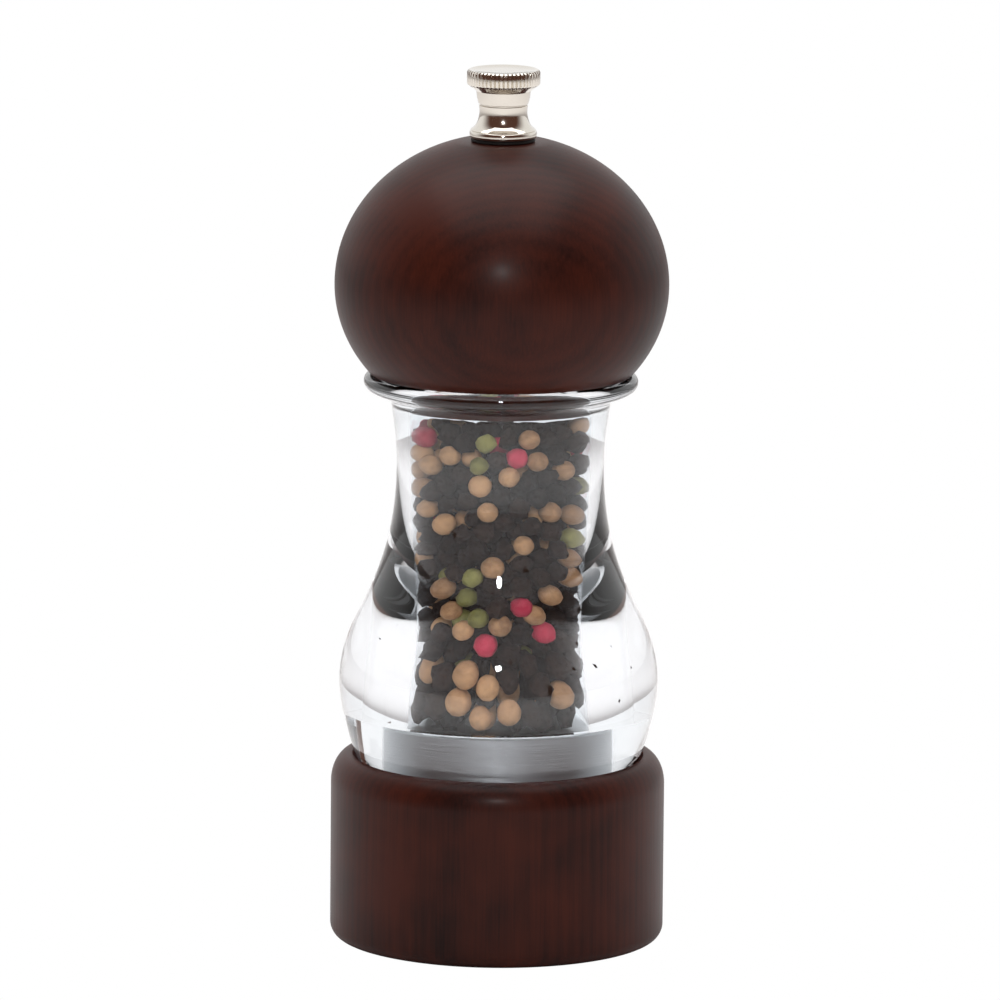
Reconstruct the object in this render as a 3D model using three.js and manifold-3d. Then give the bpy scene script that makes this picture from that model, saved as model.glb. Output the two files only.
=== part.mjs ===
// Pepper mill: a turned wooden base and head, a clear acrylic body that shows the peppercorns,
// and a bright turned knob on top. Turning the head turns the shaft and the grinding cone inside
// the fixed grinding ring; turning the knob draws the cone up and makes the grind finer.
// Millimetres, +Z up, origin at the middle of the face the mill stands on.
import * as THREE from 'three';
import { mergeVertices } from 'three/addons/utils/BufferGeometryUtils.js';
import Module from 'manifold-3d';

const wasm = await Module();
wasm.setup();

// Driving dimensions
const ROUND = 48;             // sides of the large turnings
const SMALL_ROUND = 24;       // sides of washers and holes
const GAP = 0.3;              // running gap between neighbouring pieces

const BASE_RADIUS = 31.45;
const BASE_HEIGHT = 35;
const BASE_HOLLOW_RADIUS = 21.5;

const BODY_BOTTOM = 24;
const BODY_TOP = 107.5;
const SPIGOT_RADIUS = 24;
const SEAT_RADIUS = 27;       // acrylic where it leaves the base
const SEAT_START = 30;
const BORE_RADIUS = 16.9;     // pepper chamber
const COUNTERBORE_RADIUS = 21.4;
const COUNTERBORE_TOP = 43.3;

const HEAD_BOTTOM = BODY_TOP + GAP;
const HEAD_TOP = 151.6;
const HEAD_RADIUS = 31.35;
const HEAD_WIDEST_AT = 124.5;
const TENON_RADIUS = 16.5;
const TENON_BOTTOM = 102;
const SHAFT_HOLE_RADIUS = 3.9;

const KNOB_BOTTOM = 152.3;
const KNOB_TOP = 165.1;
const KNOB_RADIUS = 6.85;
const KNOB_BORE_RADIUS = 2.9;
const KNOB_BORE_TOP = 162.4;

const SHAFT_SIDE = 4.8;
const SHAFT_BOTTOM = 20.9;
const SHAFT_TOP = 160.3;
const STUB_RADIUS = 2.1;
const SQUARE_BOTTOM = 24.9;
const THREAD_BOTTOM = 147;
const THREAD_RADIUS = 2.5;
const THREAD_PITCH = 0.8;
const THREAD_DEPTH = 0.45;

const RING_RADIUS = 21.1;
const RING_BOTTOM = BODY_BOTTOM + GAP;
const RING_TOP = COUNTERBORE_TOP - GAP;
const KEY_WIDTH = 2.4;
const KEY_REACH = 23.9;       // radius that the ring's key reaches

const CONE_BOTTOM = 24.6;
const CONE_TOP = 36.1;

const BRIDGE_THICKNESS = 1.3;
const BRIDGE_BOTTOM = RING_TOP - BRIDGE_THICKNESS;
const BRIDGE_WIDTH = 4.6;
const BRIDGE_REACH = 15.6;
const BRIDGE_HOLE_RADIUS = 3.8;

const SPRING_WASHER_TOP = BRIDGE_BOTTOM - GAP;
const SPRING_WASHER_BOTTOM = SPRING_WASHER_TOP - 0.5;

const PLATE_TOP = BODY_BOTTOM - GAP;
const PLATE_THICKNESS = 1.5;
const PLATE_HOLE_RADIUS = 11.5;
const PLATE_RADIUS = 23.7;
const PLATE_SCREW_CIRCLE = 18.2;
const PLATE_SCREW_COUNT = 3;

const DRIVE_PLATE_RADIUS = 12.5;
const DRIVE_PLATE_BOTTOM = TENON_BOTTOM + 0.1;
const DRIVE_PLATE_THICKNESS = 1.5;
const DRIVE_SCREW_OFFSET = 8.6;

const COLOURS = {
  wood: { color: 0x4a261b, roughness: 0.45, metalness: 0 },
  acrylic: { color: 0xe6ecef, roughness: 0.05, metalness: 0, transparent: true, opacity: 0.35 },
  nickel: { color: 0xcfc9c2, roughness: 0.18, metalness: 1 },
  steel: { color: 0x9a9c9e, roughness: 0.35, metalness: 1 },
  aluminium: { color: 0xb9bbbd, roughness: 0.4, metalness: 1 },
  black: { color: 0x141312, roughness: 0.7, metalness: 0 },
};

// ---- shaping tools ----

// Turns a closed outline of [radius, height] points round the mill's axis.
function turned(outline, sides = ROUND) {
  const points = outline.map(([radius, height]) => new THREE.Vector2(radius, height));
  const geometry = new THREE.LatheGeometry(points, sides);
  geometry.rotateX(Math.PI / 2);
  return geometry;
}

// A ring of rectangular section, listed so that its faces point out.
function ring(inner, outer, bottom, top, sides = SMALL_ROUND) {
  return turned([[inner, bottom], [outer, bottom], [outer, top], [inner, top], [inner, bottom]], sides);
}

function rod(radius, bottom, top, sides = SMALL_ROUND) {
  return turned([[0, bottom], [radius, bottom], [radius, top], [0, top]], sides);
}

function block(width, depth, bottom, top) {
  return new THREE.BoxGeometry(width, depth, top - bottom).translate(0, 0, (bottom + top) / 2);
}

// Points along a stretch of an ellipse, with angles in degrees from +radius towards +height.
function ellipsePoints(centre, radii, from, to, steps) {
  const points = [];
  for (let i = 0; i <= steps; i += 1) {
    const angle = THREE.MathUtils.degToRad(from + ((to - from) * i) / steps);
    points.push([centre[0] + radii[0] * Math.cos(angle), centre[1] + radii[1] * Math.sin(angle)]);
  }
  return points;
}

// Points of a smooth curve through a few [radius, height] points.
function curvePoints(through, steps) {
  const curve = new THREE.SplineCurve(through.map(([radius, height]) => new THREE.Vector2(radius, height)));
  return curve.getPoints(steps).map((point) => [point.x, point.y]);
}

// Moves each point of a turning in by depthAt(angle, height, radius).
function carve(geometry, depthAt) {
  const position = geometry.getAttribute('position');
  for (let i = 0; i < position.count; i += 1) {
    const x = position.getX(i);
    const y = position.getY(i);
    const radius = Math.hypot(x, y);
    if (radius > 0) {
      const scale = (radius - depthAt(Math.atan2(y, x), position.getZ(i), radius)) / radius;
      position.setXY(i, x * scale, y * scale);
    }
  }
  return geometry;
}

function solid(geometry) {
  const bare = geometry.clone();
  bare.deleteAttribute('normal');
  bare.deleteAttribute('uv');
  const merged = mergeVertices(bare);
  return new wasm.Manifold(new wasm.Mesh({
    numProp: 3,
    vertProperties: merged.getAttribute('position').array,
    triVerts: new Uint32Array(merged.index.array),
  }));
}

function geometryOf(body) {
  const mesh = body.getMesh();
  const geometry = new THREE.BufferGeometry();
  geometry.setAttribute('position', new THREE.BufferAttribute(mesh.vertProperties, 3));
  geometry.setIndex(new THREE.BufferAttribute(mesh.triVerts, 1));
  geometry.computeVertexNormals();
  return geometry;
}

function join(...geometries) {
  return geometryOf(geometries.map(solid).reduce((all, next) => all.add(next)));
}

function cut(geometry, ...cutters) {
  return geometryOf(cutters.map(solid).reduce((left, next) => left.subtract(next), solid(geometry)));
}

// Copies of a geometry at equal angles round the axis, moved out by offset.
function around(count, offset, firstAngle, make) {
  return Array.from({ length: count }, (_, i) => {
    const angle = THREE.MathUtils.degToRad(firstAngle + (360 * i) / count);
    return make().translate(offset, 0, 0).rotateZ(angle);
  });
}

const group = new THREE.Group();

function add(name, geometry, finish) {
  const mesh = new THREE.Mesh(geometry, new THREE.MeshStandardMaterial(COLOURS[finish]));
  mesh.name = name;
  group.add(mesh);
}

// ---- body: base, acrylic and the fixed half of the grinder ----

// The wooden base: a straight drum with a rounded shoulder, hollow underneath where the ground
// pepper falls, and a cup above the shelf where the retaining plate and the acrylic body sit.
function woodenBase() {
  const hollowMouth = BASE_HOLLOW_RADIUS + 0.8;
  const shelf = PLATE_TOP - PLATE_THICKNESS - GAP;
  return turned([
    [hollowMouth, 0],
    [30, 0],
    [30.9, 1.2],
    [BASE_RADIUS, 4],
    ...ellipsePoints([27.9, 29.5], [BASE_RADIUS - 27.9, BASE_HEIGHT - 29.5], 0, 90, 6),
    [SEAT_RADIUS + 0.4, BASE_HEIGHT - 0.1],
    [SPIGOT_RADIUS + 0.35, SEAT_START],
    [SPIGOT_RADIUS + 0.35, shelf],
    [BASE_HOLLOW_RADIUS, shelf],
    [BASE_HOLLOW_RADIUS, 0.8],
    [hollowMouth, 0],
  ]);
}

// The acrylic body: a bulb, a waist and a flared lip. It is bored for the pepper, and below a ledge
// counterbored for the grinding ring, with a slot for the ring's key.
function acrylicBody() {
  const bulbAndWaist = [
    [SEAT_RADIUS, BASE_HEIGHT], [28.9, 41.3], [30, 49], [28.8, 56.6], [25.4, 64.2],
    [21.6, 74], [19.6, 86], [19.6, 94], [20.7, 102.6],
  ];
  const blank = turned([
    [COUNTERBORE_RADIUS, BODY_BOTTOM],
    [SPIGOT_RADIUS, BODY_BOTTOM],
    [SPIGOT_RADIUS, SEAT_START],
    ...curvePoints(bulbAndWaist, 14),
    [22.2, 104],
    [24.8, 104.7],
    [25.7, 105.7],
    [25.6, 106.8],
    [24.7, BODY_TOP],
    [BORE_RADIUS, BODY_TOP],
    [BORE_RADIUS, COUNTERBORE_TOP],
    [COUNTERBORE_RADIUS, COUNTERBORE_TOP],
    [COUNTERBORE_RADIUS, BODY_BOTTOM],
  ]);
  const slotReach = KEY_REACH + GAP;
  const slotLength = slotReach - COUNTERBORE_RADIUS + 1;
  const slot = block(slotLength, KEY_WIDTH + 2 * GAP, BODY_BOTTOM - 1, COUNTERBORE_TOP);
  slot.translate(slotLength / 2 - slotReach, 0, 0);
  return cut(blank, slot);
}

// The fixed grinding ring: slanted teeth inside, coarse at the throat and fine at the bottom,
// a key that stops it turning, three screw holes, and two notches for the bridge's ends.
function grindingRing() {
  const teeth = 16;
  const throat = 34;
  const fineTop = 29;
  const blank = turned([
    [11.1, RING_BOTTOM],
    [RING_RADIUS, RING_BOTTOM],
    [RING_RADIUS, RING_TOP],
    [12.6, RING_TOP],
    [11.9, throat],
    [10.5, fineTop],
    [11.1, RING_BOTTOM],
  ], teeth * 4);
  const toothed = carve(blank, (angle, height, radius) => {
    if (radius > 13) return 0;
    const slant = (height - RING_BOTTOM) * 0.04;
    const wave = 0.5 + 0.5 * Math.cos(teeth * (angle + slant));
    return wave * (height > fineTop + 0.1 ? 1.1 : 0.45);
  });
  const keyLength = KEY_REACH - RING_RADIUS + 0.6;
  const key = block(keyLength, KEY_WIDTH, RING_BOTTOM, RING_TOP - 1);
  key.translate(keyLength / 2 - KEY_REACH, 0, 0);
  const notchWidth = BRIDGE_WIDTH + 2 * GAP;
  const notches = block(notchWidth, 2 * BRIDGE_REACH + 2 * GAP, BRIDGE_BOTTOM - GAP, RING_TOP + 1);
  const screwHoles = around(PLATE_SCREW_COUNT, PLATE_SCREW_CIRCLE, 0, () => (
    rod(1.5, RING_BOTTOM - 1, 31.5, 12)));
  return cut(join(toothed, key), notches, ...screwHoles);
}

// The bridge: a flat steel bar that lies in the ring's notches. Its round eye steadies the shaft,
// and the spring pushes against its underside.
function shaftBridge() {
  const bar = block(BRIDGE_WIDTH, 2 * BRIDGE_REACH, BRIDGE_BOTTOM, RING_TOP);
  const eye = rod(6.2, BRIDGE_BOTTOM, RING_TOP);
  const hole = rod(BRIDGE_HOLE_RADIUS, BRIDGE_BOTTOM - 1, RING_TOP + 1);
  return cut(join(bar, eye), hole);
}

// The steel plate screwed to the ring. Its rim lies between the acrylic and the base's shelf, and
// so holds the grinding ring in place.
function retainingPlate() {
  const bottom = PLATE_TOP - PLATE_THICKNESS;
  const holes = around(PLATE_SCREW_COUNT, PLATE_SCREW_CIRCLE, 0, () => (
    rod(1.5, bottom - 1, PLATE_TOP + 1, 12)));
  return cut(ring(PLATE_HOLE_RADIUS, PLATE_RADIUS, bottom, PLATE_TOP, ROUND), ...holes);
}

// A pan-head screw that points up, with a cross recess in its head.
function retainingScrew() {
  const headTop = PLATE_TOP - PLATE_THICKNESS - GAP / 2;
  const headBottom = headTop - 1.5;
  const shank = 1.15;
  const head = turned([
    [0, headBottom], [1.6, headBottom], [2.2, headBottom + 0.6], [2.2, headTop],
    [shank, headTop], [shank, 29.8], [0, 31],
  ], 16);
  return cut(head, ...crossRecess(headBottom, 2.2));
}

// Two crossed slots for a screwdriver, cut up into a head that faces down.
function crossRecess(headBottom, width) {
  const slot = () => block(width, 0.5, headBottom - 1, headBottom + 0.7);
  return [slot(), slot().rotateZ(Math.PI / 2)];
}

// ---- spring set: turns with the shaft but stays at its height ----

function upperSpringWasher() {
  return ring(3.75, 5.8, SPRING_WASHER_BOTTOM, SPRING_WASHER_TOP);
}

// The spring round the shaft between the upper washer and the grinding cone.
function grinderSpring() {
  const wire = 0.3;
  const coil = 4.7;
  const bottom = CONE_TOP + GAP + wire;
  const top = SPRING_WASHER_BOTTOM - GAP - wire;
  const turns = 3;
  const steps = turns * 12;
  const points = Array.from({ length: steps + 1 }, (_, i) => {
    const angle = (2 * Math.PI * turns * i) / steps;
    const height = bottom + ((top - bottom) * i) / steps;
    return new THREE.Vector3(coil * Math.cos(angle), coil * Math.sin(angle), height);
  });
  const section = new THREE.Shape().absarc(0, 0, wire, 0, 2 * Math.PI);
  return new THREE.ExtrudeGeometry(section, {
    steps, curveSegments: 4, extrudePath: new THREE.CatmullRomCurve3(points), bevelEnabled: false,
  });
}

// ---- shaft: the square bar and what rises with it ----

// The drive shaft: a square aluminium bar with a threaded end for the knob and a grooved stub
// for the retaining clip.
function driveShaft() {
  const bar = block(SHAFT_SIDE, SHAFT_SIDE, SQUARE_BOTTOM, THREAD_BOTTOM);
  const stub = turned([
    [0, SHAFT_BOTTOM], [STUB_RADIUS, SHAFT_BOTTOM], [STUB_RADIUS, 22.1], [1.4, 22.1],
    [1.4, 23.1], [STUB_RADIUS, 23.1], [STUB_RADIUS, SQUARE_BOTTOM + 1], [0, SQUARE_BOTTOM + 1],
  ], 16);
  return join(bar, stub, threadedEnd());
}

// A screw thread of triangular section that fades out at both ends.
function threadedEnd() {
  const start = THREAD_BOTTOM - 1;
  const rowsPerTurn = 3;
  const rows = Math.round(((SHAFT_TOP - start) / THREAD_PITCH) * rowsPerTurn);
  const side = Array.from({ length: rows + 1 }, (_, i) => (
    [THREAD_RADIUS, start + ((SHAFT_TOP - start) * i) / rows]));
  const blank = turned([[0, start], ...side, [0, SHAFT_TOP]], 12);
  return carve(blank, (angle, height) => {
    const along = height / THREAD_PITCH - angle / (2 * Math.PI);
    const ridge = Math.abs(2 * (along - Math.floor(along)) - 1);
    return THREAD_DEPTH * (1 - ridge * THREE.MathUtils.clamp((SHAFT_TOP - height) / THREAD_PITCH, 0, 1));
  });
}

// The grinding cone: steep spiral teeth that crack the corns at the top, fine ones at its foot.
function grindingCone() {
  const teeth = 12;
  const fineTop = 29;
  const blank = turned([
    [0, CONE_BOTTOM], [10, CONE_BOTTOM], [9.3, fineTop], [7.6, 33], [6.5, CONE_TOP], [0, CONE_TOP],
  ], teeth * 5);
  const toothed = carve(blank, (angle, height, radius) => {
    if (radius < 1) return 0;
    const slant = (height - CONE_BOTTOM) * 0.09;
    const along = (teeth * (angle - slant)) / (2 * Math.PI);
    return (along - Math.floor(along)) * (height > fineTop ? 1.2 : 0.5);
  });
  const socket = SHAFT_SIDE + 2 * GAP;
  return cut(toothed, block(socket, socket, CONE_BOTTOM - 1, CONE_TOP + 1));
}

function coneWasher() {
  return ring(STUB_RADIUS + GAP, 5, 23.4, 24.3);
}

// The spring-steel clip that snaps into the groove under the cone.
function retainingClip() {
  const mouth = block(4, 1.9, 22, 23.2).translate(3, 0, 0);
  return cut(ring(1.6, 3.6, 22.3, 22.9), mouth);
}

// ---- head ----

// The wooden head: a full rounded turning with a short tenon that centres it in the acrylic,
// a shaft hole right through, and a recess for the drive plate.
function woodenHead() {
  const lower = [HEAD_RADIUS, 27];
  const upper = [HEAD_RADIUS, 28.2];
  const middle = [0, HEAD_WIDEST_AT];
  const fromAngle = THREE.MathUtils.radToDeg(Math.asin((HEAD_BOTTOM + 0.4 - HEAD_WIDEST_AT) / lower[1]));
  const toAngle = THREE.MathUtils.radToDeg(Math.asin((HEAD_TOP - HEAD_WIDEST_AT) / upper[1]));
  const recessRadius = DRIVE_PLATE_RADIUS + GAP;
  const recessTop = DRIVE_PLATE_BOTTOM + DRIVE_PLATE_THICKNESS + GAP;
  const blank = turned([
    [recessRadius, TENON_BOTTOM],
    [TENON_RADIUS, TENON_BOTTOM],
    [TENON_RADIUS, HEAD_BOTTOM],
    [24.2, HEAD_BOTTOM],
    ...ellipsePoints(middle, lower, fromAngle, 0, 5),
    ...ellipsePoints(middle, upper, 11, toAngle, 7),
    [SHAFT_HOLE_RADIUS, HEAD_TOP],
    [SHAFT_HOLE_RADIUS, recessTop],
    [recessRadius, recessTop],
    [recessRadius, TENON_BOTTOM],
  ]);
  const screwHoles = around(2, DRIVE_SCREW_OFFSET, 0, () => rod(1.2, recessTop - 1, 111, 12));
  return cut(blank, ...screwHoles);
}

// The steel drive plate let into the tenon: its square hole takes the shaft's turn.
function drivePlate() {
  const top = DRIVE_PLATE_BOTTOM + DRIVE_PLATE_THICKNESS;
  const side = SHAFT_SIDE + 2 * GAP;
  const screwHoles = around(2, DRIVE_SCREW_OFFSET, 0, () => turned([
    [0, DRIVE_PLATE_BOTTOM - 0.5], [2.4, DRIVE_PLATE_BOTTOM - 0.5], [2.3, DRIVE_PLATE_BOTTOM],
    [1.25, top - 0.3], [1.25, top + 0.5], [0, top + 0.5],
  ], 16));
  return cut(
    rod(DRIVE_PLATE_RADIUS, DRIVE_PLATE_BOTTOM, top, ROUND),
    block(side, side, DRIVE_PLATE_BOTTOM - 1, top + 1),
    ...screwHoles,
  );
}

// A countersunk wood screw that points up through the drive plate into the head.
function drivePlateScrew() {
  const bottom = DRIVE_PLATE_BOTTOM;
  const body = turned([
    [0, bottom], [1.95, bottom], [1.95, bottom + 0.15], [0.95, bottom + 1.15], [0.95, 109], [0, 110.4],
  ], 16);
  return cut(body, ...crossRecess(bottom, 2));
}

// ---- knob ----

function knobWasher() {
  return ring(KNOB_BORE_RADIUS, 6, HEAD_TOP + 0.1, KNOB_BOTTOM - 0.1);
}

// The finial knob: a foot ring, a slim waist, a collar and a broad rim with a flat top, bored
// from below for the shaft's thread.
function finialKnob() {
  const waist = [[5.7, 153.9], [4.75, 155.3], [4.48, 157.4], [4.6, 158.4]];
  return turned([
    [KNOB_BORE_RADIUS, KNOB_BOTTOM],
    [6.1, KNOB_BOTTOM],
    [6.3, KNOB_BOTTOM + 0.2],
    [6.3, 153.7],
    ...curvePoints(waist, 6),
    [4.35, 158.6],
    [4.75, 158.8],
    [5.1, 161.1],
    [KNOB_RADIUS, 162.4],
    [KNOB_RADIUS, 164.7],
    [6.5, KNOB_TOP],
    [0, KNOB_TOP],
    [0, KNOB_BORE_TOP],
    [KNOB_BORE_RADIUS, KNOB_BORE_TOP],
    [KNOB_BORE_RADIUS, KNOB_BOTTOM],
  ], 32);
}

// ---- the mill ----

add('wooden_base', woodenBase(), 'wood');
add('acrylic_body', acrylicBody(), 'acrylic');
add('grinding_ring', grindingRing(), 'steel');
add('shaft_bridge', shaftBridge(), 'steel');
add('retaining_plate', retainingPlate(), 'steel');
around(PLATE_SCREW_COUNT, PLATE_SCREW_CIRCLE, 0, retainingScrew)
  .forEach((geometry, i) => add(`retaining_plate_screw_${i + 1}`, geometry, 'steel'));
add('upper_spring_washer', upperSpringWasher(), 'steel');
add('grinder_spring', grinderSpring(), 'steel');
add('drive_shaft', driveShaft(), 'aluminium');
add('grinding_cone', grindingCone(), 'steel');
add('cone_washer', coneWasher(), 'steel');
add('cone_retaining_clip', retainingClip(), 'steel');
add('wooden_head', woodenHead(), 'wood');
add('drive_plate', drivePlate(), 'steel');
around(2, DRIVE_SCREW_OFFSET, 0, drivePlateScrew)
  .forEach((geometry, i) => add(`drive_plate_screw_${i + 1}`, geometry, 'steel'));
add('knob_washer', knobWasher(), 'black');
add('finial_knob', finialKnob(), 'nickel');

export default group;
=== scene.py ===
"""A pepper mill with a wooden base and head and a clear body full of peppercorns: the looks that are
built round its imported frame. Metres, +Z up, with the mill standing on its origin."""

import math

import bpy
import numpy as np
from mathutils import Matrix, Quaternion, Vector


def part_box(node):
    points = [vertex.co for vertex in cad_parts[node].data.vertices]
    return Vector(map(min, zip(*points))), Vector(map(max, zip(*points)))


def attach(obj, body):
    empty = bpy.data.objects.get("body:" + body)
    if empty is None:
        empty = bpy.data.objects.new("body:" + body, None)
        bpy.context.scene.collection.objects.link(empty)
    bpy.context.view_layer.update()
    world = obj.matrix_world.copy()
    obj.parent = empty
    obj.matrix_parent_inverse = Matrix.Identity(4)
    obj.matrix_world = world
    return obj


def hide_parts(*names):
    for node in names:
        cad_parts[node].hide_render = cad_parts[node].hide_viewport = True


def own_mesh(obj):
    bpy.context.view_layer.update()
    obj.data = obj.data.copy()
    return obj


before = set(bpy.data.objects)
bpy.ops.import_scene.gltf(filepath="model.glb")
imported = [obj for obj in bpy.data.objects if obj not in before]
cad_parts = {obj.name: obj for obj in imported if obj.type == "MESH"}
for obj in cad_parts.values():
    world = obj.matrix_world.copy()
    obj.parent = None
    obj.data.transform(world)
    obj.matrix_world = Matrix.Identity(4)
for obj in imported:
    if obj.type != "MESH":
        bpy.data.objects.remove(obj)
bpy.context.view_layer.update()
MM = 0.001

# ---- camera ----
# A long lens from a little above the mill, held about half a degree off level.
camera_distance = 2.124
camera_elevation = math.radians(10.45)
camera_tilt = math.radians(0.5)
aim = Vector((0, 0, 0.0834))
bpy.ops.object.camera_add()
camera = bpy.context.object
camera.data.lens = 407
camera.data.sensor_width = 36
towards_camera = Vector((0, -math.cos(camera_elevation), math.sin(camera_elevation)))
camera.location = aim + towards_camera * camera_distance
camera.rotation_mode = "QUATERNION"
level_view = (-towards_camera).to_track_quat("-Z", "Y")
camera.rotation_quaternion = level_view @ Quaternion((0, 0, 1), camera_tilt)
bpy.context.scene.camera = camera
bpy.context.scene.view_settings.view_transform = "Standard"

# ---- wooden base ----
# A straight drum of stained hardwood, turned on a lathe with a rounded shoulder, hollow below
# where the ground pepper falls, and with a cup above that the clear body is fixed in.
LARGE_ROUND = 160             # sides of the large turnings
SMALL_ROUND = 64              # sides of screws, washers and other small turnings


def arc(centre, radii, start, end, steps):
    """Points along an ellipse, with angles in degrees from +radius towards +height."""
    angles = [math.radians(start + (end - start) * i / steps) for i in range(steps + 1)]
    return [(centre[0] + radii[0] * math.cos(a), centre[1] + radii[1] * math.sin(a)) for a in angles]


def turn(name, outline, sides=LARGE_ROUND):
    """Turns a blank: a ring of points is drawn out from each (radius, height) in mm to the next.
    The outline ends where it began, or starts in a flat round face and ends on the axis."""
    bpy.ops.object.select_all(action="DESELECT")
    radius, height = outline[0]
    bpy.ops.mesh.primitive_circle_add(vertices=sides, radius=radius * MM, location=(0, 0, height * MM))
    piece = bpy.context.object
    piece.name = name
    bpy.ops.object.mode_set(mode="EDIT")
    bpy.ops.mesh.select_all(action="SELECT")
    for next_radius, next_height in outline[1:]:
        rise = (0, 0, (next_height - height) * MM)
        bpy.ops.mesh.extrude_region_move(TRANSFORM_OT_translate={"value": rise})
        share = next_radius / radius
        bpy.ops.transform.resize(value=(share, share, 1))
        radius, height = next_radius, next_height
    bpy.ops.mesh.select_all(action="SELECT")
    bpy.ops.mesh.remove_doubles(threshold=0.002 * MM)
    bpy.ops.mesh.fill_holes(sides=0)
    bpy.ops.mesh.normals_make_consistent(inside=False)
    bpy.ops.object.mode_set(mode="OBJECT")
    bpy.ops.object.transform_apply(location=True)
    bpy.ops.object.shade_smooth_by_angle(angle=math.radians(35))
    return piece


def linear(hex_colour):
    """An sRGB hex colour as the linear colour that a shader takes."""
    parts = [int(hex_colour[i:i + 2], 16) / 255 for i in (1, 3, 5)]
    return tuple(c / 12.92 if c <= 0.04045 else ((c + 0.055) / 1.055) ** 2.4 for c in parts) + (1,)


def add_node(tree, kind, settings, inputs):
    """Adds a shader node. An input is given a value, or the output that is linked to it."""
    made = tree.nodes.new("ShaderNode" + kind)
    for name, value in settings.items():
        setattr(made, name, value)
    for name, value in inputs.items():
        if isinstance(value, bpy.types.NodeSocket):
            tree.links.new(value, made.inputs[name])
        else:
            made.inputs[name].default_value = value
    return made


def new_material(name):
    """An empty material with its output, its node tree and the piece's own coordinates."""
    made = bpy.data.materials.new(name)
    made.use_nodes = True
    made.node_tree.nodes.clear()
    output = add_node(made.node_tree, "OutputMaterial", {}, {})
    place = add_node(made.node_tree, "TexCoord", {}, {}).outputs["Object"]
    return made, made.node_tree, output, place


def fit(piece, material, body, slot, *nodes):
    """Finishes a piece, makes it ride on its body, and shows it in place of its CAD nodes."""
    piece.data.materials.clear()
    piece.data.materials.append(material)
    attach(piece, body)
    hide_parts(*nodes)


def stained_wood(name, pith_side):
    """Stained beech under satin lacquer: close growth layers, fine fibres along the mill that the
    stain darkens, cloudy patches, and a soft sheen from the lacquer."""
    made, tree, output, place = new_material(name)
    pith = add_node(tree, "Mapping", {}, {"Vector": place, "Location": (0.012, pith_side * 0.085, 0)})
    layer_period = 1.9 * MM
    layers = add_node(tree, "TexWave", {"wave_type": "RINGS", "rings_direction": "Z"}, {
        "Vector": pith.outputs[0], "Scale": math.tau / 20 / layer_period,
        "Distortion": 5, "Detail": 2, "Detail Scale": 0.06, "Detail Roughness": 0.6,
    })
    fibre_size = (1 / (0.42 * MM), 1 / (0.42 * MM), 1 / (16 * MM))
    along = add_node(tree, "Mapping", {}, {"Vector": place, "Scale": fibre_size})
    fibres = add_node(tree, "TexNoise", {}, {
        "Vector": along.outputs[0], "Scale": 1, "Detail": 3, "Roughness": 0.6})
    clouds = add_node(tree, "TexNoise", {}, {"Vector": place, "Scale": 1 / (15 * MM), "Detail": 2})
    layered = add_node(tree, "Math", {"operation": "MULTIPLY_ADD"}, {
        0: layers.outputs["Fac"], 1: 0.1, 2: clouds.outputs["Fac"]})
    streaked = add_node(tree, "Math", {"operation": "MULTIPLY_ADD"}, {
        0: fibres.outputs["Fac"], 1: 0.5, 2: layered.outputs[0]})
    ramp = add_node(tree, "ValToRGB", {}, {"Fac": streaked.outputs[0]})
    stops = ramp.color_ramp.elements
    stops[0].position = 0.48
    stops[0].color = linear("#1a0604")
    stops[1].position = 1.0
    stops[1].color = linear("#3e160b")
    bump = add_node(tree, "Bump", {}, {
        "Height": fibres.outputs["Fac"], "Strength": 0.12, "Distance": 0.06 * MM})
    rough = add_node(tree, "MapRange", {}, {
        "Value": fibres.outputs["Fac"], "To Min": 0.36, "To Max": 0.52})
    lacquered = add_node(tree, "BsdfPrincipled", {}, {
        "Base Color": ramp.outputs["Color"], "Roughness": rough.outputs[0], "Normal": bump.outputs[0],
        "Specular IOR Level": 0.12, "Coat Weight": 0.07, "Coat Roughness": 0.25,
    })
    tree.links.new(lacquered.outputs[0], output.inputs["Surface"])
    return made


base_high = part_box("wooden_base")[1]
base_radius = base_high.x / MM
base_height = base_high.z / MM
hollow_radius = 21.5
shelf_height = 21.9           # the retaining plate's rim and the clear body stand on this shelf
cup_radius = 24.35
shoulder = (3.55, 5.5)
foot = arc((base_radius - 2.2, 2.6), (2.2, 2.6), -90, 0, 10)
base = turn("turned_base", [
    (hollow_radius + 0.8, 0),
    *foot,
    (base_radius, 10),
    (base_radius, 20),
    *arc((base_radius - shoulder[0], base_height - shoulder[1]), shoulder, 0, 90, 14),
    (27.45, base_height - 0.05),
    (27.15, base_height - 0.4),
    (cup_radius, 30),
    (cup_radius, shelf_height),
    (hollow_radius, shelf_height),
    (hollow_radius, 0.8),
    (hollow_radius + 0.8, 0),
])
fit(base, stained_wood("stained_beech_of_base", 1), "body", "dark_wood", "wooden_base")

# ---- grinding ring ----
# The fixed half of the grinder: a wide sintered steel ring in the bottom of the clear body, with
# slanted teeth inside, a key that stops it turning, and two notches in its top for the bridge.
def pick(piece, test):
    """Selects the points of a piece whose place in mm passes the test, ready for the next edit."""
    bpy.ops.object.mode_set(mode="OBJECT")
    bpy.ops.object.select_all(action="DESELECT")
    piece.select_set(True)
    bpy.context.view_layer.objects.active = piece
    for part in (piece.data.vertices, piece.data.edges, piece.data.polygons):
        part.foreach_set("select", [False] * len(part))
    for point in piece.data.vertices:
        point.select = test(point.co / MM)
    bpy.ops.object.mode_set(mode="EDIT")


def swell(piece, test, share):
    """Moves the points that pass the test out from the mill's axis, or in where share is below 1."""
    pick(piece, test)
    bpy.ops.transform.resize(value=(share, share, 1), center_override=(0, 0, 0))
    bpy.ops.object.mode_set(mode="OBJECT")


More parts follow.
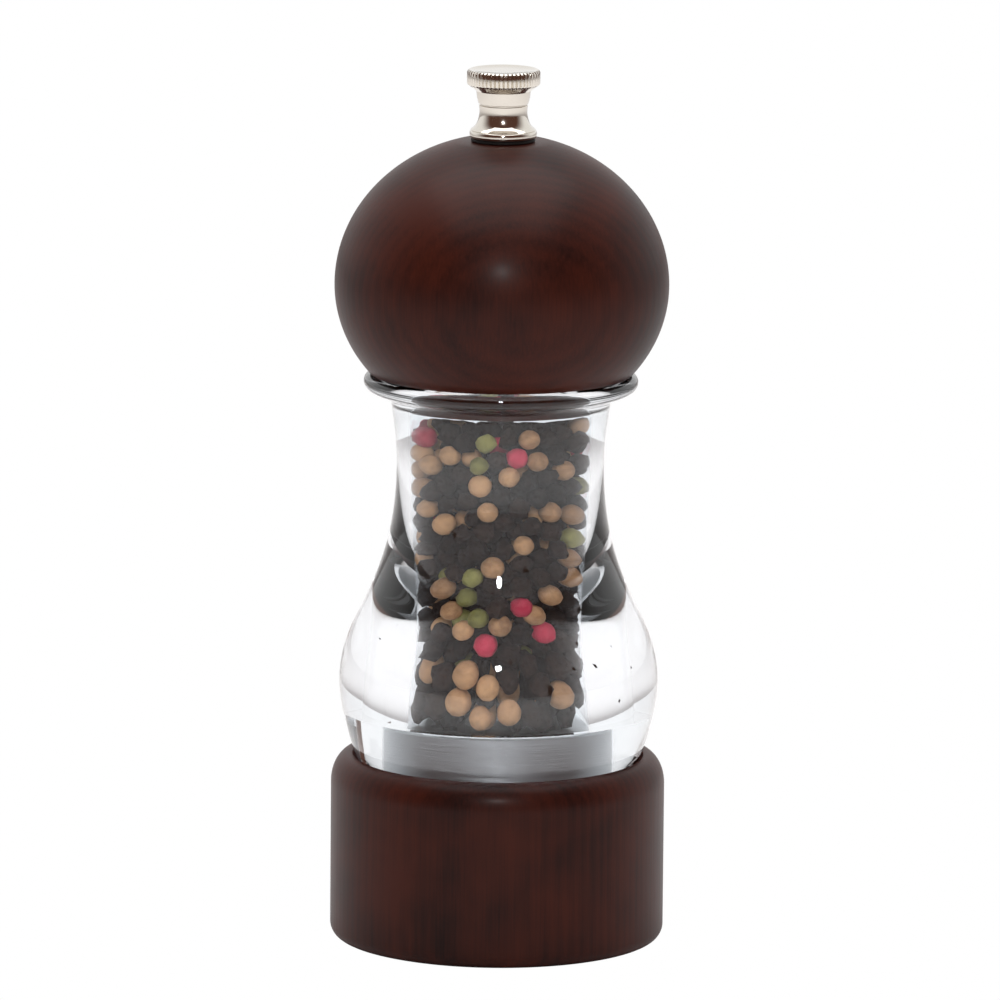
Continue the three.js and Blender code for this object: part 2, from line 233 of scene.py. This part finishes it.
def block(name, size, centre, turned_by=0.0):
    """A plain block in mm, swung round the mill's axis: a cutter, or the start of a piece."""
    bpy.ops.object.select_all(action="DESELECT")
    bpy.ops.mesh.primitive_cube_add(size=MM, location=[c * MM for c in centre])
    made = bpy.context.object
    made.name = name
    made.scale = size
    bpy.ops.object.transform_apply(location=True, scale=True)
    made.rotation_euler.z = turned_by
    bpy.ops.object.transform_apply(rotation=True)
    return made


def combine(piece, other, operation):
    """Cuts the other piece out of this one, or joins it on, and removes the other."""
    step = piece.modifiers.new("combined", "BOOLEAN")
    step.operation = operation
    step.object = other
    step.solver = "EXACT"
    bpy.context.view_layer.objects.active = piece
    bpy.ops.object.modifier_apply(modifier=step.name)
    bpy.data.objects.remove(other)


def sharpen(piece, angle=35):
    """Smooth shading, apart from edges that are sharper than the angle in degrees."""
    bpy.ops.object.select_all(action="DESELECT")
    piece.select_set(True)
    bpy.context.view_layer.objects.active = piece
    bpy.ops.object.shade_smooth_by_angle(angle=math.radians(angle))


def metal(name, colour, roughness, grain, depth, stretch=(1, 1, 1)):
    """A bare or plated metal whose surface is broken up by a fine grain, in mm, of a given depth."""
    made, tree, output, place = new_material(name)
    spread = add_node(tree, "Mapping", {}, {"Vector": place, "Scale": stretch})
    marks = add_node(tree, "TexNoise", {}, {
        "Vector": spread.outputs[0], "Scale": 1 / (grain * MM), "Detail": 3})
    bump = add_node(tree, "Bump", {}, {
        "Height": marks.outputs["Fac"], "Strength": 0.4, "Distance": depth * MM})
    rough = add_node(tree, "MapRange", {}, {
        "Value": marks.outputs["Fac"], "To Min": roughness * 0.75, "To Max": roughness * 1.25})
    shader = add_node(tree, "BsdfPrincipled", {}, {
        "Base Color": linear(colour), "Metallic": 1, "Roughness": rough.outputs[0],
        "Normal": bump.outputs[0],
    })
    tree.links.new(shader.outputs[0], output.inputs["Surface"])
    return made


sintered_steel = metal("sintered_steel", "#b4b6b8", 0.4, 1, 0.12, (0.12, 0.12, 3.5))
ring_low, ring_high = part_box("grinding_ring")
ring_bottom = ring_low.z / MM
ring_top = ring_high.z / MM
ring_radius = 21.1
ring_teeth = 16
teeth_slant = 0.04            # radians round the axis for each mm of height
teeth_within = 13             # only the points nearer the axis than this are the ring's inside
coarse_share, fine_share = 0.92, 0.965
fine_teeth_top = 29
key_reach = 23.9
key_width = 2.4
notch_width, notches_length, notch_depth = 5.2, 31.8, 1.6
ring = turn("toothed_ring", [
    (11.1, ring_bottom),
    (ring_radius, ring_bottom),
    (ring_radius, ring_top - 0.3),
    (ring_radius - 0.3, ring_top),
    (12.6, ring_top),
    *[(12.6 - 0.35 * i / 2, ring_top - 2.35 * i / 2) for i in (1, 2)],
    (11.9, 34),
    (11.2, 31.5),
    (10.5, fine_teeth_top),
    (10.8, 26.7),
    (11.1, ring_bottom),
], ring_teeth * 8)


def on_tooth(place):
    """Whether a point of the ring's inside lies on the raised half of a slanted tooth."""
    turned_by = math.atan2(place.y, place.x) + (place.z - ring_bottom) * teeth_slant
    return place.xy.length < teeth_within and (ring_teeth * turned_by) % math.tau < math.pi


swell(ring, lambda p: p.z > fine_teeth_top + 0.1 and on_tooth(p), coarse_share)
swell(ring, lambda p: p.z <= fine_teeth_top + 0.1 and on_tooth(p), fine_share)
key_length = key_reach - ring_radius + 0.6
key_height = ring_top - 1 - ring_bottom
key_place = (key_length / 2 - key_reach, 0, ring_bottom + key_height / 2)
combine(ring, block("key", (key_length, key_width, key_height), key_place), "UNION")
cutter_height = 3
notches_place = (0, 0, ring_top - notch_depth + cutter_height / 2)
combine(ring, block("notches", (notch_width, notches_length, cutter_height), notches_place), "DIFFERENCE")
sharpen(ring)
fit(ring, sintered_steel, "body", "grinder_steel", "grinding_ring")

# ---- shaft bridge ----
# A flat steel bar with a round eye, stamped from sheet, that lies in the ring's notches.
bridge_low, bridge_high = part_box("shaft_bridge")
bridge_middle = (bridge_low.z + bridge_high.z) / 2 / MM
bridge_thickness = (bridge_high.z - bridge_low.z) / MM
eye_hole, eye_radius = 3.8, 6.2
arm_width, arm_length, arm_middle = 4.6, 10.1, 10.55
stamped_steel = metal("stamped_steel", "#a9a9a8", 0.34, 0.4, 0.02)
eye = turn("stamped_bridge", [
    (eye_hole, bridge_middle - bridge_thickness / 2),
    (eye_radius, bridge_middle - bridge_thickness / 2),
    (eye_radius, bridge_middle + bridge_thickness / 2),
    (eye_hole, bridge_middle + bridge_thickness / 2),
    (eye_hole, bridge_middle - bridge_thickness / 2),
], SMALL_ROUND)
for side in (-1, 1):
    arm_place = (0, side * arm_middle, bridge_middle)
    arm = block("arm", (arm_width, arm_length, bridge_thickness), arm_place)
    combine(eye, arm, "UNION")
edges = eye.modifiers.new("stamped_edges", "BEVEL")
edges.width = 0.15 * MM
edges.segments = 2
edges.angle_limit = math.radians(50)
bpy.context.view_layer.objects.active = eye
bpy.ops.object.modifier_apply(modifier=edges.name)
sharpen(eye)
fit(eye, stamped_steel, "body", "grinder_steel", "shaft_bridge")

# ---- retaining plate and its screws ----
# A round steel plate under the ring, held to it by three pan-head screws. Its rim is caught between
# the clear body and the base's shelf, which keeps the ring in place.
plate_low, plate_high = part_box("retaining_plate")
plate_bottom = plate_low.z / MM
plate_top = plate_high.z / MM
plate_radius = plate_high.x / MM
plate_hole = 11.5
screw_circle = 18.2
screw_hole = 1.5
plate = turn("holding_plate", [
    (plate_hole, plate_bottom + 0.2),
    (plate_hole + 0.2, plate_bottom),
    (plate_radius - 0.25, plate_bottom),
    (plate_radius, plate_bottom + 0.25),
    (plate_radius, plate_top),
    (plate_hole, plate_top),
    (plate_hole, plate_bottom + 0.2),
])


def screw_places():
    """The three places on the screw circle, in mm."""
    turns = [math.tau * i / 3 for i in range(3)]
    return [(screw_circle * math.cos(t), screw_circle * math.sin(t)) for t in turns]


for x, y in screw_places():
    hole = turn("hole", [
        (screw_hole, plate_bottom - 1), (screw_hole, plate_top + 1), (0, plate_top + 1)], 24)
    hole.location = (x * MM, y * MM, 0)
    combine(plate, hole, "DIFFERENCE")
sharpen(plate)
fit(plate, stamped_steel, "body", "grinder_steel", "retaining_plate")

screw_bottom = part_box("retaining_plate_screw_1")[0].z / MM
pan_top = screw_bottom + 1.5
shank_radius = 1.15
cross_slot = (2.4, 0.5, 1.6)
for number, (x, y) in enumerate(screw_places(), 1):
    screw = turn(f"pan_head_screw_{number}", [
        (1.5, screw_bottom),
        *arc((1.45, screw_bottom + 0.75), (0.75, 0.75), -80, 0, 6),
        (2.2, pan_top),
        (shank_radius, pan_top),
        (shank_radius, 29.8),
        (0, 31),
    ], SMALL_ROUND)
    for quarter in (0, math.pi / 2):
        cross = block("cross", cross_slot, (0, 0, screw_bottom - 0.1), quarter)
        combine(screw, cross, "DIFFERENCE")
    screw.location = (x * MM, y * MM, 0)
    bpy.ops.object.select_all(action="DESELECT")
    screw.select_set(True)
    bpy.context.view_layer.objects.active = screw
    bpy.ops.object.transform_apply(location=True)
    sharpen(screw)
    fit(screw, stamped_steel, "body", "grinder_steel", f"retaining_plate_screw_{number}")

# ---- clear body ----
# One turned and polished block of clear acrylic: a bulb, a waist and a flared lip. It is bored for
# the peppercorns, and below a ledge bored wider for the grinding ring, with a slot for its key.
body_low, body_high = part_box("acrylic_body")
body_bottom = body_low.z / MM
body_top = body_high.z / MM
bore_radius = 16.9
ring_bore_radius = 21.4
ledge_height = 43.3
foot_radius = 24              # the part of the body that stands in the base's cup
foot_top = 30
slot_size, slot_centre = 3, -22.7


def smooth_through(points, steps):
    """Points of the natural cubic curve through a few (radius, height) points."""
    known = np.array(points, float)
    gaps = np.linalg.norm(np.diff(known, axis=0), axis=1)
    along = np.concatenate([[0], np.cumsum(gaps)])
    count = len(known)
    system = np.eye(count)
    target = np.zeros((count, 2))
    for i in range(1, count - 1):
        system[i, i - 1:i + 2] = (gaps[i - 1], 2 * (gaps[i - 1] + gaps[i]), gaps[i])
        slopes = (known[i + 1] - known[i]) / gaps[i] - (known[i] - known[i - 1]) / gaps[i - 1]
        target[i] = 6 * slopes
    bend = np.linalg.solve(system, target)
    drawn = []
    for place in np.linspace(0, along[-1], steps + 1):
        i = min(int(np.searchsorted(along, place, side="right")) - 1, count - 2)
        after, before = place - along[i], along[i + 1] - place
        gap = gaps[i]
        straight = (known[i] / gap - bend[i] * gap / 6) * before
        straight += (known[i + 1] / gap - bend[i + 1] * gap / 6) * after
        drawn.append(tuple(straight + (bend[i] * before ** 3 + bend[i + 1] * after ** 3) / (6 * gap)))
    return drawn


body_curve = smooth_through([
    (27, 35), (28.9, 41.3), (30, 49), (28.8, 56.6), (25.4, 64.2),
    (21.6, 74), (19.6, 86), (19.6, 94), (20.6, 102.2),
], 72)
lip_curve = smooth_through([
    (20.6, 102.2), (22.0, 103.9), (24.6, 104.6), (25.7, 105.7), (25.6, 106.8), (24.7, body_top),
], 20)
clear_body = turn("polished_clear_body", [
    (ring_bore_radius, body_bottom),
    (foot_radius, body_bottom),
    (foot_radius, foot_top),
    *body_curve,
    *lip_curve[1:],
    (bore_radius, body_top),
    (bore_radius, ledge_height),
    (ring_bore_radius, ledge_height),
    (ring_bore_radius, body_bottom),
])
slot_height = ledge_height - body_bottom + 1
slot_place = (slot_centre, 0, body_bottom - 1 + slot_height / 2)
combine(clear_body, block("key_slot", (slot_size, slot_size, slot_height), slot_place), "DIFFERENCE")
sharpen(clear_body)


acrylic_index = 1.491


def clear_acrylic():
    """Polished acrylic: it bends light, and lets it through to what it holds without a dark shadow."""
    made, tree, output, place = new_material("polished_acrylic")
    scuffs = add_node(tree, "TexNoise", {}, {"Vector": place, "Scale": 1 / (9 * MM), "Detail": 1})
    rough = add_node(tree, "MapRange", {}, {
        "Value": scuffs.outputs["Fac"], "To Min": 0.0, "To Max": 0.012})
    bends = add_node(tree, "BsdfPrincipled", {}, {
        "Base Color": linear("#f5f8fb"), "Roughness": rough.outputs[0], "IOR": acrylic_index,
        "Transmission Weight": 1,
    })
    passes = add_node(tree, "BsdfTransparent", {}, {"Color": linear("#f4f6f7")})
    light_path = add_node(tree, "LightPath", {}, {})
    mixed = add_node(tree, "MixShader", {}, {
        0: light_path.outputs["Is Shadow Ray"], 1: bends.outputs[0], 2: passes.outputs[0]})
    tree.links.new(mixed.outputs[0], output.inputs["Surface"])
    return made


fit(clear_body, clear_acrylic(), "body", "clear_acrylic", "acrylic_body")

# ---- grinding cone, shaft and small steel pieces ----
# The turning half of the grinder sits on the square aluminium shaft, with a washer and a clip below
# it and a washer above. Their CAD shapes are shown, with a finish of their own.
def refinish(node, material):
    """Gives a CAD node that stays in sight its finish."""
    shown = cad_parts[node]
    shown.data.materials.clear()
    shown.data.materials.append(material)


hardened_steel = metal("hardened_steel", "#8f9092", 0.3, 0.5, 0.02)
drawn_aluminium = metal("drawn_aluminium", "#c4c6c8", 0.38, 0.3, 0.01, (1, 1, 0.05))
for node in ("grinding_cone", "cone_washer", "cone_retaining_clip", "upper_spring_washer"):
    refinish(node, hardened_steel)
refinish("drive_shaft", drawn_aluminium)

# ---- spring ----
# A coil of round spring wire between the upper washer and the cone, which holds the cone down. It
# closes up as the knob draws the cone higher.
spring_low, spring_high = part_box("grinder_spring")
wire = 0.3
coil = 4.7
coil_turns = 3
spring_bottom = spring_low.z / MM + wire
spring_top = spring_high.z / MM - wire
bpy.ops.object.select_all(action="DESELECT")
bpy.ops.mesh.primitive_circle_add(
    vertices=12, radius=wire * MM,
    location=(coil * MM, 0, spring_bottom * MM), rotation=(math.pi / 2, 0, 0))
spring = bpy.context.object
spring.name = "coiled_spring"
bpy.ops.object.transform_apply(location=True, rotation=True)
wound = spring.modifiers.new("wound", "SCREW")
wound.axis = "Z"
wound.angle = math.tau
wound.screw_offset = (spring_top - spring_bottom) / coil_turns * MM
wound.iterations = coil_turns
wound.steps = 40
wound.render_steps = 40
bpy.ops.object.modifier_apply(modifier=wound.name)
bpy.ops.object.mode_set(mode="EDIT")
bpy.ops.mesh.select_all(action="SELECT")
bpy.ops.mesh.remove_doubles(threshold=0.002 * MM)
bpy.ops.mesh.fill_holes(sides=0)
bpy.ops.mesh.normals_make_consistent(inside=False)
bpy.ops.object.mode_set(mode="OBJECT")
sharpen(spring, 50)
fit(spring, hardened_steel, "spring_set", "grinder_steel", "grinder_spring")
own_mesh(spring)

# ---- peppercorns ----
# Whole dried berries about 4 mm across, mostly wrinkled black ones, with smooth white ones and a
# few green and pink, filling the chamber. They are loose, and lie as they settle.
corns_rest_at = 43.1
corns_reach = 101.5
shaft_clearance = 3.9         # the square shaft's corners, and the corns' wrinkles
wall_gap = 0.05

# Corns that show against the wall, where they are seen from the camera: mm to the right of the
# mill's axis, and height in mm.
white_seen = [
    (-2.3, 80.8), (9.4, 80.9), (13.5, 80.3), (4.5, 74.3), (13.2, 71.4), (-1.3, 69.7), (11.7, 89.2),
    (-14.3, 85.4), (-13.4, 81.4), (-15.4, 92.6), (-10.4, 78.3), (-10.7, 65), (-9.2, 60.4),
    (9.8, 63.8), (6.8, 59.7), (0.2, 57.5), (-6.9, 56.4), (-2, 46.7), (-7.4, 44.6), (2, 43.1),
    (11.5, 45.7), (13.5, 67.3),
]
green_seen = [(-2.6, 94.3), (-4, 89.9), (14.8, 86.1), (-5.1, 67.6), (-6.2, 63.4)]
pink_seen = [(3.1, 91.5), (-13.9, 95.8), (8.6, 56), (-2.5, 53.6), (4.3, 61.5)]


def against_wall(sideways, height, corn_radius):
    """Where a corn touches the wall, if the camera sees it at this place through the acrylic."""
    centre_radius = bore_radius - corn_radius - wall_gap
    outer_radius = float(np.interp(height, [h for _, h in body_curve], [r for r, _ in body_curve]))
    widest = 0.97 * centre_radius
    aside = max(-widest, min(sideways, widest))
    at_outside, in_outside, in_bore, past_bore, at_centre = (math.asin(aside / length) for length in (
        outer_radius, outer_radius * acrylic_index,
        bore_radius * acrylic_index, bore_radius, centre_radius))
    angle = at_outside - in_outside + in_bore - past_bore + at_centre
    acrylic_path = outer_radius * math.cos(in_outside) - bore_radius * math.cos(in_bore)
    air_path = bore_radius * math.cos(past_bore) - centre_radius * math.cos(at_centre)
    fall = outer_radius * math.cos(at_outside) - acrylic_path / acrylic_index - air_path
    out = (centre_radius * math.sin(angle), -centre_radius * math.cos(angle))
    return (*out, height + fall * math.tan(camera_elevation))


dice = np.random.default_rng(7)
corn_kinds = ["white"] * len(white_seen) + ["green"] * len(green_seen) + ["pink"] * len(pink_seen)
placed = white_seen + green_seen + pink_seen
fixed_count = len(placed)
corn_count = 700
loose_count = corn_count - fixed_count
loose_between = (5.6, 14.6)   # how far from the axis the loose corns start
settling_rounds = 260
push_share = 0.45
corn_kinds += list(dice.choice(
    ["black", "white", "green", "pink"], loose_count, p=[0.84, 0.12, 0.02, 0.02]))
corn_radii = dice.uniform(1.85, 2.15, corn_count)
corn_places = np.zeros((corn_count, 3))
for i, (sideways, height) in enumerate(placed):
    corn_places[i] = against_wall(sideways, height, corn_radii[i])
spin = dice.uniform(0, math.tau, loose_count)
out = np.sqrt(dice.uniform(loose_between[0] ** 2, loose_between[1] ** 2, loose_count))
corn_places[fixed_count:, 0] = out * np.cos(spin)
corn_places[fixed_count:, 1] = out * np.sin(spin)
corn_places[fixed_count:, 2] = dice.uniform(corns_rest_at + 2, corns_reach - 2, loose_count)

for _ in range(settling_rounds):
    apart = corn_places[:, None] - corn_places[None]
    distance = np.linalg.norm(apart, axis=2) + np.eye(corn_count)
    overlap = np.clip(corn_radii[:, None] + corn_radii[None] - distance, 0, None)
    np.fill_diagonal(overlap, 0)
    push = (apart / distance[..., None] * overlap[..., None]).sum(1) * push_share
    corn_places[fixed_count:] += push[fixed_count:]
    reach = np.hypot(corn_places[:, 0], corn_places[:, 1])
    allowed = np.clip(reach, shaft_clearance + corn_radii, bore_radius - corn_radii - wall_gap)
    corn_places[:, :2] *= (allowed / reach)[:, None]
    corn_places[:, 2] = np.clip(corn_places[:, 2], corns_rest_at + corn_radii, corns_reach - corn_radii)


def corn_shape(kind, seed, subdivisions, wrinkle):
    """One dried berry of 1 mm radius, a ball whose points are pushed about by its wrinkles."""
    bpy.ops.object.select_all(action="DESELECT")
    bpy.ops.mesh.primitive_ico_sphere_add(subdivisions=subdivisions, radius=MM)
    made = bpy.context.object
    made.name = f"{kind}_shape_{seed}"
    bpy.ops.object.mode_set(mode="EDIT")
    bpy.ops.mesh.select_all(action="SELECT")
    bpy.ops.transform.vertex_random(offset=wrinkle * MM, seed=seed, normal=0.7)
    bpy.ops.transform.resize(value=(1, 1, 1.0 - wrinkle * 0.4))
    bpy.ops.object.mode_set(mode="OBJECT")
    bpy.ops.object.shade_smooth()
    return made


def dried_berry(name, dark, light, wrinkle_size, wrinkle_depth, roughness):
    """The skin of a dried berry: each corn has its own shade, and ridges round its wrinkles."""
    made, tree, output, place = new_material(name)
    ridges = add_node(tree, "TexVoronoi", {"feature": "SMOOTH_F1"}, {
        "Vector": place, "Scale": 1 / (wrinkle_size * MM)})
    mottle = add_node(tree, "TexNoise", {}, {"Vector": place, "Scale": 1 / (1.1 * MM), "Detail": 3})
    each_corn = add_node(tree, "NewGeometry", {}, {}).outputs["Random Per Island"]
    shade = add_node(tree, "Math", {"operation": "MULTIPLY_ADD"}, {0: each_corn, 1: 0.7, 2: -0.2})
    mixed = add_node(tree, "Math", {"operation": "ADD"}, {0: shade.outputs[0], 1: mottle.outputs["Fac"]})
    ramp = add_node(tree, "ValToRGB", {}, {"Fac": mixed.outputs[0]})
    ramp.color_ramp.elements[0].color = linear(dark)
    ramp.color_ramp.elements[1].color = linear(light)
    bump = add_node(tree, "Bump", {}, {
        "Height": ridges.outputs["Distance"], "Strength": 1, "Distance": wrinkle_depth * MM})
    skin = add_node(tree, "BsdfPrincipled", {}, {
        "Base Color": ramp.outputs["Color"], "Roughness": roughness, "Specular IOR Level": 0.06,
        "Normal": bump.outputs[0],
    })
    tree.links.new(skin.outputs[0], output.inputs["Surface"])
    return made


corn_looks = {
    "black": (2, 0.24, ("black_pepper_skin", "#080505", "#30211a", 0.9, 0.6, 0.8)),
    "white": (3, 0.03, ("white_pepper_skin", "#7d5a40", "#cfa176", 1.6, 0.06, 0.5)),
    "green": (2, 0.1, ("green_pepper_skin", "#5d5a2b", "#9a9457", 1.0, 0.2, 0.6)),
    "pink": (3, 0.06, ("pink_pepper_skin", "#a3223a", "#d94a62", 1.4, 0.08, 0.4)),
}
for kind, (subdivisions, wrinkle, skin) in corn_looks.items():
    shapes = [corn_shape(kind, seed, subdivisions, wrinkle) for seed in range(1, 5)]
    heap = []
    for i in [i for i in range(corn_count) if corn_kinds[i] == kind]:
        pattern = shapes[i % len(shapes)]
        corn = pattern.copy()
        corn.data = pattern.data.copy()
        corn.location = corn_places[i] * MM
        corn.rotation_euler = dice.uniform(0, math.tau, 3)
        corn.scale = [corn_radii[i]] * 3
        bpy.context.scene.collection.objects.link(corn)
        heap.append(corn)
    for shape in shapes:
        bpy.data.objects.remove(shape)
    bpy.ops.object.select_all(action="DESELECT")
    for corn in heap:
        corn.select_set(True)
    bpy.context.view_layer.objects.active = heap[0]
    bpy.ops.object.join()
    bpy.ops.object.transform_apply(location=True, rotation=True, scale=True)
    corns = bpy.context.object
    corns.name = f"{kind}_peppercorns"
    fit(corns, dried_berry(*skin), "body", "peppercorns")

# ---- wooden head ----
# A full, rounded turning of the same stained wood, held to turn the grinder. Its short tenon
# centres it in the clear body, and the shaft passes through a hole right up its middle.
head_low, head_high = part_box("wooden_head")
head_radius = head_high.x / MM
head_top = head_high.z / MM
widest_at = 124.5
head_bottom = 107.8
tenon_bottom = head_low.z / MM
tenon_radius = 16.5
recess_radius = 12.8
recess_top = 103.9
shaft_hole = 3.9
lower_height = 27
upper_height = 28.2
from_angle = math.degrees(math.asin((head_bottom + 0.4 - widest_at) / lower_height))
to_angle = math.degrees(math.asin((head_top - widest_at) / upper_height))
lower = arc((0, widest_at), (head_radius, lower_height), from_angle, 0, 30)
upper = arc((0, widest_at), (head_radius, upper_height), 0, to_angle, 44)
head = turn("turned_head", [
    (recess_radius, tenon_bottom),
    (tenon_radius, tenon_bottom),
    (tenon_radius, head_bottom),
    (lower[0][0] - 0.4, head_bottom),
    *lower,
    *upper[1:],
    (shaft_hole, head_top),
    (shaft_hole, recess_top),
    (recess_radius, recess_top),
    (recess_radius, tenon_bottom),
])
fit(head, stained_wood("stained_beech_of_head", -1), "head", "dark_wood", "wooden_head")

# ---- drive plate ----
# A steel plate let into the tenon, whose square hole turns the shaft, with two countersunk screws.
for node in ("drive_plate", "drive_plate_screw_1", "drive_plate_screw_2"):
    refinish(node, stamped_steel)

# ---- knob washer ----
# A thin black fibre washer between the wood and the knob.
washer_low, washer_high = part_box("knob_washer")
washer_bottom = washer_low.z / MM
washer_top = washer_high.z / MM
washer_hole, washer_radius = 2.95, 6
washer = turn("fibre_washer", [
    (washer_hole, washer_bottom),
    (washer_radius - 0.1, washer_bottom),
    (washer_radius, washer_bottom + 0.1),
    (washer_radius, washer_top - 0.1),
    (washer_radius - 0.1, washer_top),
    (washer_hole, washer_top),
    (washer_hole, washer_bottom),
], SMALL_ROUND)


def black_fibre():
    """Pressed fibre: nearly black, matt, with a slight felted unevenness."""
    made, tree, output, place = new_material("pressed_black_fibre")
    felt = add_node(tree, "TexNoise", {}, {"Vector": place, "Scale": 1 / (0.5 * MM), "Detail": 2})
    tint = add_node(tree, "ValToRGB", {}, {"Fac": felt.outputs["Fac"]})
    tint.color_ramp.elements[0].color = linear("#0c0b0b")
    tint.color_ramp.elements[1].color = linear("#1c1a19")
    shader = add_node(tree, "BsdfPrincipled", {}, {"Base Color": tint.outputs["Color"], "Roughness": 0.7})
    tree.links.new(shader.outputs[0], output.inputs["Surface"])
    return made


fit(washer, black_fibre(), "knob_seat", "black_fibre", "knob_washer")

# ---- knob ----
# The finial knob: turned brass, nickel plated and polished, with a fluted rim for the fingers. It
# screws down on the shaft to set the grind, and its blind bore clears the thread.
knob_low, knob_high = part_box("finial_knob")
knob_bottom = knob_low.z / MM
knob_top = knob_high.z / MM
rim_radius = knob_high.x / MM
rim_bottom = 162.3
knob_bore = 2.9
flutes = 52
points_per_flute = 4
waist = smooth_through([
    (6.1, knob_bottom + 1.5), (5.2, 154.6), (4.66, 155.9), (4.48, 157.4), (4.6, 158.4),
], 16)
knob = turn("fluted_knob", [
    (knob_bore, knob_top - 2.7),
    (knob_bore, knob_bottom),
    (6.0, knob_bottom),
    *arc((6.0, knob_bottom + 0.7), (0.3, 0.7), -90, 90, 10),
    *waist,
    (4.35, 158.5),
    (4.35, 158.65),
    (4.7, 158.8),
    (4.95, 159.8),
    (5.1, 161.1),
    (5.5, 161.45),
    (6.4, 162.1),
    (rim_radius - 0.1, 162.35),
    (rim_radius, 162.55),
    (rim_radius, 163.6),
    (rim_radius, knob_top - 0.5),
    (rim_radius - 0.12, knob_top - 0.22),
    (rim_radius - 0.45, knob_top),
    (rim_radius - 0.9, knob_top),
    (rim_radius - 1.2, knob_top - 0.12),
    (2.5, knob_top - 0.16),
    (0, knob_top - 0.16),
], flutes * points_per_flute)


def in_flute(place):
    """Whether a point of the rim is at the bottom of a flute."""
    step = round(math.atan2(place.y, place.x) / math.tau * flutes * points_per_flute)
    on_rim = rim_bottom < place.z < knob_top - 0.1 and place.xy.length > rim_radius - 0.2
    return on_rim and step % points_per_flute == 0


swell(knob, in_flute, 0.955)
sharpen(knob, 32)
bright_nickel = metal("polished_nickel_plate", "#dcd6cc", 0.11, 2.5, 0.002)
fit(knob, bright_nickel, "knob", "bright_nickel", "finial_knob")

# ---- floor and light ----
# A pale floor in a white studio: a wide soft light overhead, a small lamp by the camera, and a
# surround that is bright behind and at the sides, and a dim brown room on the camera's side.
floor_size = 14
floor_drop = 0.1 * MM
bpy.ops.object.select_all(action="DESELECT")
bpy.ops.mesh.primitive_plane_add(size=floor_size, location=(0, 0, -floor_drop))
floor = bpy.context.object
floor.name = "studio_floor"
floor_paint, tree, output, place = new_material("white_studio_floor")
paint = add_node(tree, "BsdfDiffuse", {}, {"Color": linear("#f3f3f3")})
glow = add_node(tree, "Emission", {}, {"Color": linear("#ffffff"), "Strength": 1.0})
seen = add_node(tree, "LightPath", {}, {}).outputs["Is Camera Ray"]
shown = add_node(tree, "MixShader", {}, {0: seen, 1: paint.outputs[0], 2: glow.outputs[0]})
tree.links.new(shown.outputs[0], output.inputs["Surface"])
floor.data.materials.append(floor_paint)

overhead_height = 1.1
bpy.ops.object.light_add(type="AREA", location=(0, 0, overhead_height))
overhead = bpy.context.object
overhead.data.size = 1.2
overhead.data.energy = 11

lamp_elevation = math.radians(25)
lamp_distance = 1.5
lamp_from = Vector((0, -math.cos(lamp_elevation), math.sin(lamp_elevation)))
bpy.ops.object.light_add(type="AREA", location=aim + lamp_from * lamp_distance)
lamp = bpy.context.object
lamp.data.shape = "DISK"
lamp.data.size = 0.12
lamp.data.energy = 4.5
lamp.rotation_euler = (-lamp_from).to_track_quat("-Z", "Y").to_euler()

world = bpy.data.worlds.new("white_studio")
world.use_nodes = True
bpy.context.scene.world = world
tree = world.node_tree
tree.nodes.clear()
direction = add_node(tree, "TexCoord", {}, {}).outputs["Generated"]
parts = add_node(tree, "SeparateXYZ", {}, {"Vector": direction})
behind = add_node(tree, "MapRange", {"interpolation_type": "SMOOTHSTEP"}, {
    "Value": parts.outputs["Y"], "From Min": -0.45, "From Max": 0.5, "To Min": 0.0, "To Max": 1.0})
seen = add_node(tree, "LightPath", {}, {}).outputs["Is Camera Ray"]
brightness = add_node(tree, "Mix", {}, {0: seen, 2: behind.outputs[0], 3: 1.0})
room = add_node(tree, "ValToRGB", {}, {"Fac": brightness.outputs[0]})
room.color_ramp.elements[0].color = linear("#5c4036")
room.color_ramp.elements[1].color = linear("#ffffff")
surround = add_node(tree, "Background", {}, {"Color": room.outputs["Color"], "Strength": 1})
output = add_node(tree, "OutputWorld", {}, {"Surface": surround.outputs[0]})
